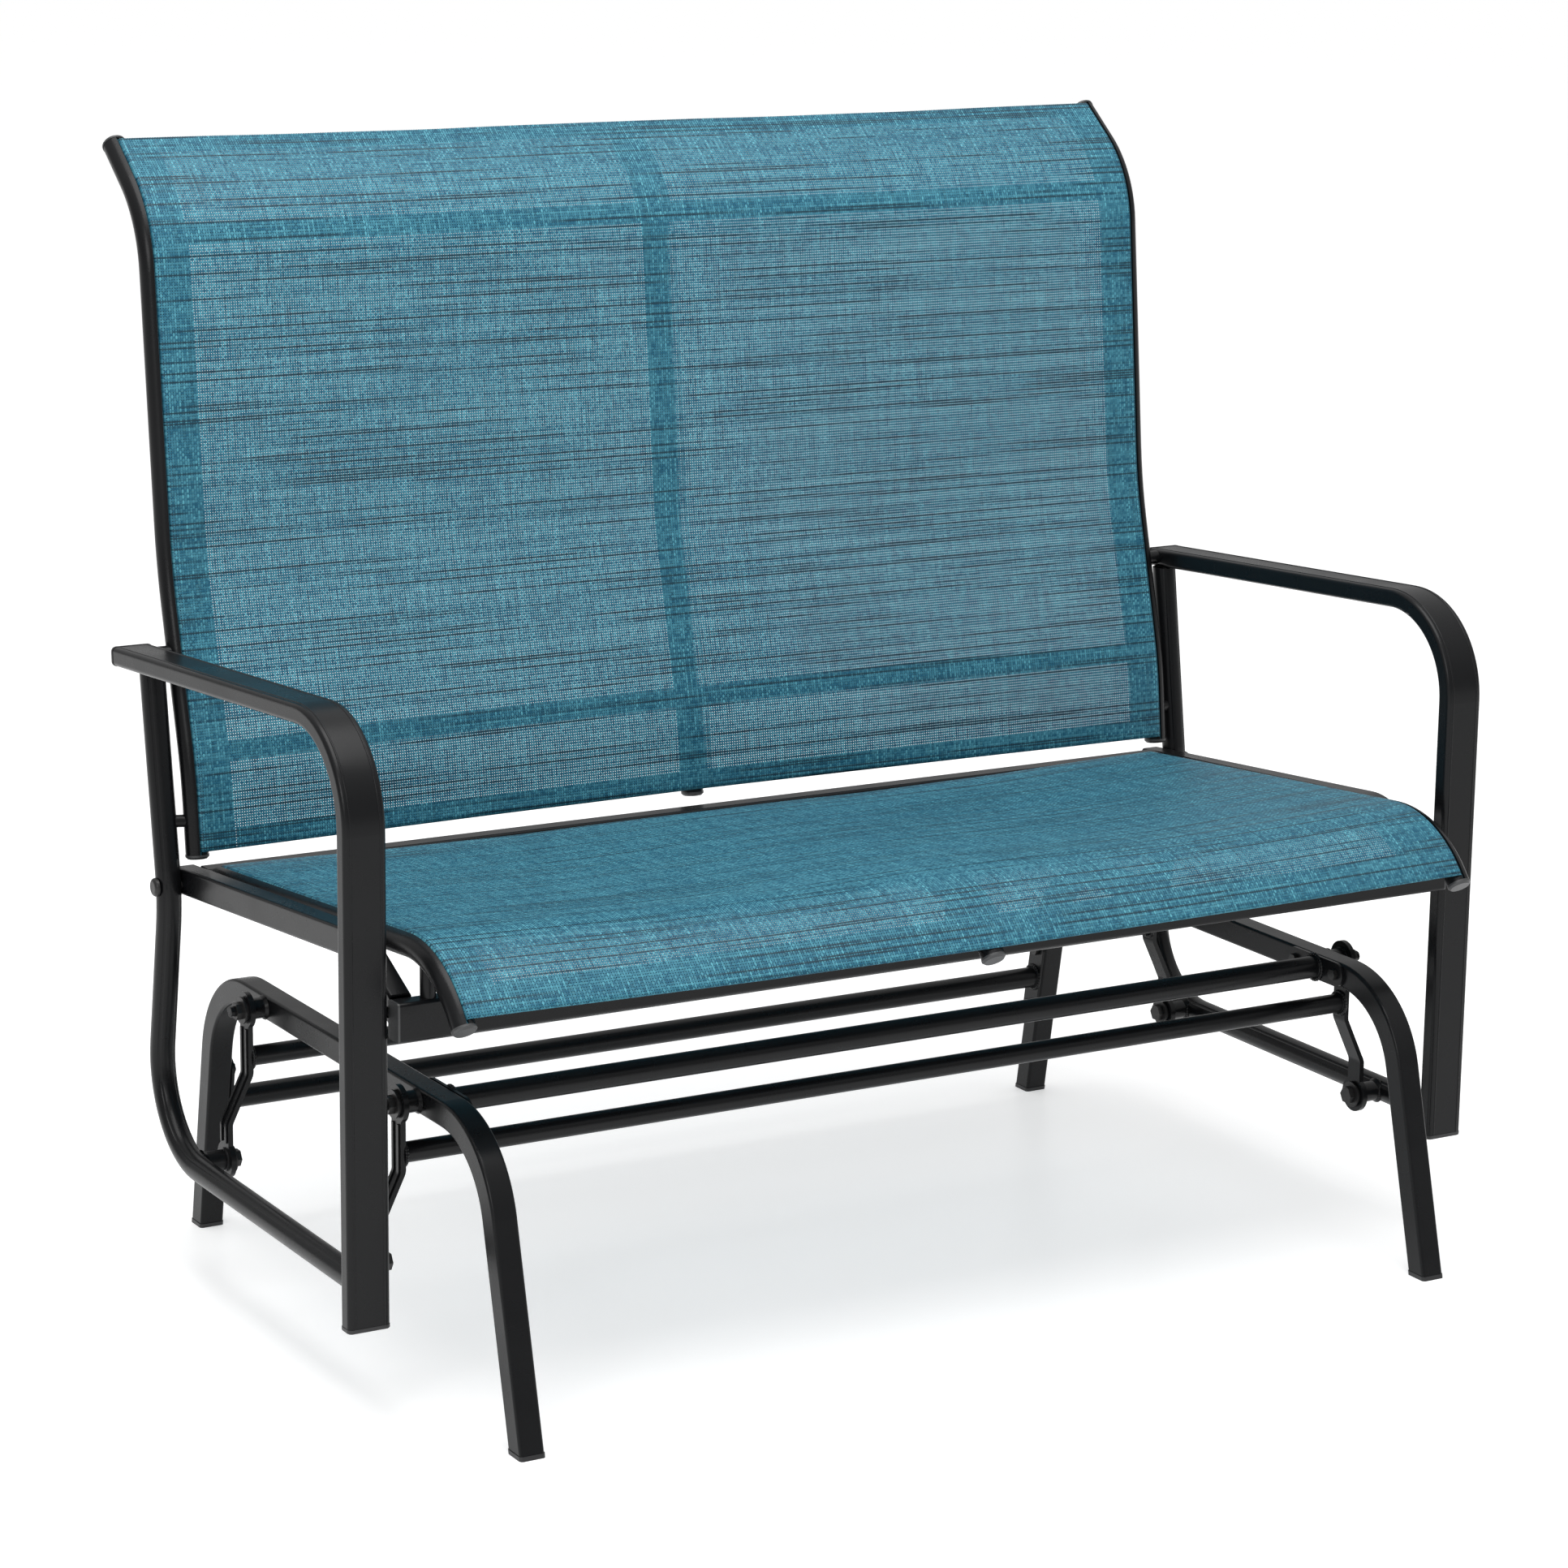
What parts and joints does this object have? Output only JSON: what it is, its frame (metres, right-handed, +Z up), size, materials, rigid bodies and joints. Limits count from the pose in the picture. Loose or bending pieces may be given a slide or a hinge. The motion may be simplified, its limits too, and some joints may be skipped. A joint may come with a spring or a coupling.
{
  "type": "glider swing",
  "caption": "Patio glider bench whose sling seat and back, with arms, hang from a standing base on swinging links and glide to and fro.",
  "frame": {"origin": "on the floor, under the middle of the overall box", "axes": "+X to the right of someone who faces the glider, +Y from its front to its back, +Z up"},
  "size_m": [1.2128, 0.7648, 1.0722],
  "materials": {
    "frame_black": "satin powder coat",
    "hardware_black": "black oxide",
    "end_cap_dark": "moulded, matte",
    "end_cap_grey": "moulded, matte",
    "bearing_nylon": "moulded nylon",
    "edge_cord": "extruded cord",
    "sling_teal": "open weave of coated yarn"
  },
  "bodies": {
    "base": {"base_flange_bolts": "hardware_black", "base_foot_caps": "end_cap_dark", "base_front_tube": "frame_black", "base_rear_tube": "frame_black", "base_side_frame_left": "frame_black", "base_side_frame_right": "frame_black", "base_tube_flanges": "frame_black", "base_weld_nuts": "hardware_black", "upper_pivot_nuts": "hardware_black", "upper_pivot_studs": "frame_black", "upper_pivot_washers": "hardware_black"},
    "front_links": {"front_link_bearings": "bearing_nylon", "front_link_left": "frame_black", "front_link_right": "frame_black", "front_link_tube": "frame_black"},
    "rear_links": {"rear_link_bearings": "bearing_nylon", "rear_link_left": "frame_black", "rear_link_right": "frame_black", "rear_link_tube": "frame_black"},
    "seat": {"arm_end_caps": "end_cap_dark", "arm_post_left": "frame_black", "arm_post_right": "frame_black", "arm_spacers": "frame_black", "back_lower_spreader": "frame_black", "back_rail_caps": "end_cap_grey", "back_rail_center": "frame_black", "back_rail_left": "frame_black", "back_rail_right": "frame_black", "back_rail_stubs": "frame_black", "back_sling": "sling_teal", "back_sling_beads": "edge_cord", "back_upper_spreader": "frame_black", "front_rail_caps": "end_cap_grey", "lower_pivot_bolts": "hardware_black", "lower_pivot_bosses": "frame_black", "lower_pivot_washers": "hardware_black", "post_end_caps": "end_cap_dark", "post_spacers": "frame_black", "post_tie_bolts": "hardware_black", "seat_center_support": "frame_black", "seat_front_rail": "frame_black", "seat_rail_caps": "end_cap_grey", "seat_rail_supports": "frame_black", "seat_rear_rail": "frame_black", "seat_side_rail_left": "frame_black", "seat_side_rail_right": "frame_black", "seat_sling": "sling_teal", "seat_sling_beads": "edge_cord", "seat_sling_rail_center": "frame_black", "seat_sling_rail_left": "frame_black", "seat_sling_rail_right": "frame_black", "seat_tie_bolts": "hardware_black", "seat_tie_nuts": "hardware_black", "side_tube_left": "frame_black", "side_tube_right": "frame_black"}
  },
  "joints": [
    {"name": "front_links_swing", "type": "hinge", "parent": "base", "child": "front_links", "pos_m": [0, -0.1798, 0.269], "axis": [1, 0, 0], "range_deg": [-18, 18]},
    {"name": "rear_links_swing", "type": "hinge", "parent": "base", "child": "rear_links", "pos_m": [0, 0.1542, 0.269], "axis": [1, 0, 0], "range_deg": [-18, 18]},
    {"name": "seat_hang", "type": "hinge", "parent": "front_links", "child": "seat", "pos_m": [0, -0.1798, 0.125], "axis": [1, 0, 0], "range_deg": [-18, 18]}
  ],
  "couplings": [
    {"joint": "rear_links_swing", "follows": "front_links_swing", "ratio": 1},
    {"joint": "seat_hang", "follows": "front_links_swing", "ratio": -1}
  ]
}
